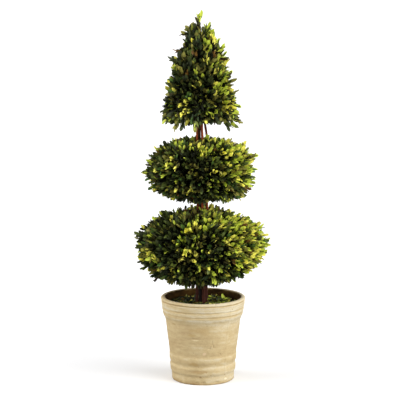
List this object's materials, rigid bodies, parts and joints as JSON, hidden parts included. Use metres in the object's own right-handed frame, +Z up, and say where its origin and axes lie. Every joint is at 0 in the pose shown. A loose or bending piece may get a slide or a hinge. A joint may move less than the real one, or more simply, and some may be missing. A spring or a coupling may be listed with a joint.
{
  "type": "potted boxwood cone and ball topiary",
  "caption": "Clipped evergreen with a cone of small leaves over two flattened balls on a bundle of thin stems, standing in a ribbed, weathered clay pot.",
  "frame": {"origin": "middle of the pot's flat underside, on the surface that it stands on", "axes": "+Z up along the stems to the cone's tip, -Y towards the front"},
  "size_m": [0.3285, 0.3236, 0.914],
  "materials": {
    "clay": "weathered, chalky, matt",
    "soil": "damp potting soil",
    "fallen_leaves": "loose small leaves",
    "bark": "thin red-brown bark",
    "foliage": "small glossy leaves"
  },
  "bodies": {
    "root": {"pot": "clay", "soil": "soil", "leaf_litter": "fallen_leaves", "main_stem": "bark", "side_stem_1": "bark", "side_stem_2": "bark", "side_stem_3": "bark", "side_stem_4": "bark", "lower_ball": "foliage", "middle_ball": "foliage", "cone": "foliage"}
  },
  "joints": []
}
